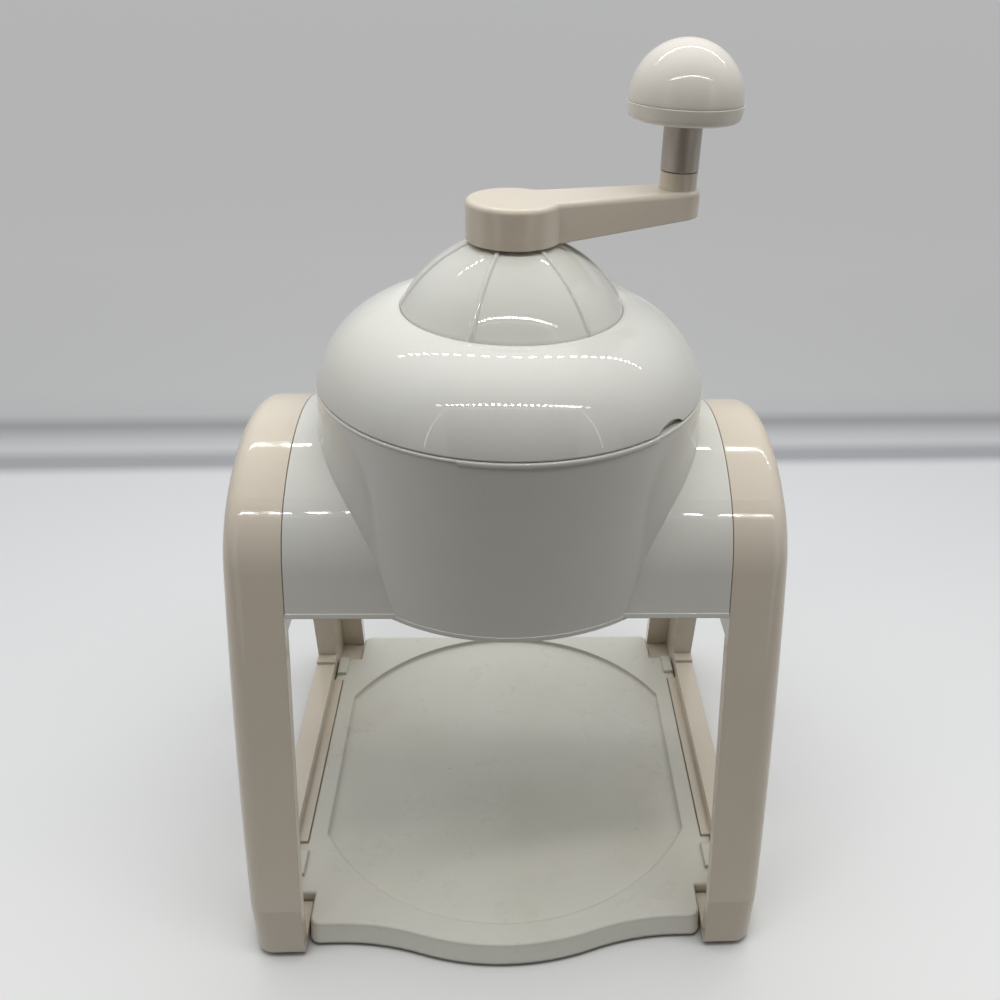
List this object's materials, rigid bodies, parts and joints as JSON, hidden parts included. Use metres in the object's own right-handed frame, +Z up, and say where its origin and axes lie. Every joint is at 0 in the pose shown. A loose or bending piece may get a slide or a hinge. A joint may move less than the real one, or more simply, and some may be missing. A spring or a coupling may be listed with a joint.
{
  "type": "ice shaver with crank",
  "caption": "Hand-cranked ice shaver: arched side frames on a base plate hold a drum with a blade in its floor; the lid carries the crank, its turning knob and a sprung pusher.",
  "frame": {"origin": "middle of the footprint on the table, at the underside of the rubber feet", "axes": "+Z up, +X to the right-hand frame, -Y to the front where the base plate bulges"},
  "size_m": [0.1996, 0.1944, 0.3195],
  "materials": {
    "cream_plastic": "moulded gloss, warm cream",
    "white_plastic": "moulded gloss, cool white",
    "plate_plastic": "worn satin off-white with light scratches",
    "hopper_plastic": "moulded satin white",
    "knob_plastic": "polished warm white",
    "sleeve_plastic": "satin light grey",
    "grey_plastic": "fine matte light grey",
    "bearing_plastic": "natural acetal white",
    "rubber": "matte black",
    "blade_steel": "ground stainless steel",
    "shaft_steel": "turned stainless steel",
    "screw_steel": "bright zinc-plated steel",
    "spring_steel": "drawn stainless wire"
  },
  "bodies": {
    "stand": {"left_side_frame": "cream_plastic", "right_side_frame": "cream_plastic", "base_plate": "plate_plastic", "rubber_feet": "rubber", "plate_screws": "screw_steel", "main_housing": "white_plastic", "frame_screws": "screw_steel", "ice_hopper": "hopper_plastic", "hopper_screws": "screw_steel", "blade_floor": "hopper_plastic", "floor_screws": "screw_steel"},
    "lid": {"lid_shell": "white_plastic", "dome_cover": "white_plastic", "dome_screws": "screw_steel", "shaft_bush": "bearing_plastic"},
    "crank": {"crank_arm": "cream_plastic", "drive_shaft": "shaft_steel", "retaining_clip": "screw_steel", "spring_seat": "screw_steel", "stop_washer": "screw_steel", "stop_screw": "screw_steel", "spindle_pin": "shaft_steel", "spindle_clip": "screw_steel"},
    "knob": {"knob_sleeve": "sleeve_plastic", "knob_base": "knob_plastic", "knob_cap": "knob_plastic"},
    "pusher": {"pusher_disc": "grey_plastic", "pusher_spikes": "shaft_steel", "pusher_spring": "spring_steel"},
    "adjuster": {"adjuster_screw": "shaft_steel", "adjuster_clip": "screw_steel", "adjuster_knob": "grey_plastic"},
    "blade_block": {"blade_carrier": "grey_plastic", "blade": "blade_steel", "blade_screws": "screw_steel"}
  },
  "joints": [
    {"name": "lid_lift", "type": "slide", "parent": "stand", "child": "lid", "axis": [0, 0, 1], "range_m": [0, 0.12]},
    {"name": "crank_turn", "type": "hinge", "parent": "lid", "child": "crank", "pos_m": [0, 0.0033, 0.262], "axis": [0, 0, 1], "continuous": true},
    {"name": "knob_spin", "type": "hinge", "parent": "crank", "child": "knob", "pos_m": [0.0592, 0.02485, 0.29], "axis": [0, 0, 1], "continuous": true},
    {"name": "pusher_slide", "type": "slide", "parent": "crank", "child": "pusher", "axis": [0, 0, 1], "range_m": [0, 0.034], "stiffness_N_per_m": 250, "springref_m": -0.01, "deforming": ["pusher_spring"]},
    {"name": "adjuster_turn", "type": "hinge", "parent": "stand", "child": "adjuster", "pos_m": [0.03, -0.0157, 0.15], "axis": [0, 0, -1], "range_deg": [0, 360]},
    {"name": "blade_slide", "type": "slide", "parent": "stand", "child": "blade_block", "axis": [0, 0, 1], "range_m": [0, 0.0008]}
  ],
  "couplings": [
    {"joint": "adjuster_turn", "follows": "blade_slide", "rad_per_m": 7853.9}
  ]
}
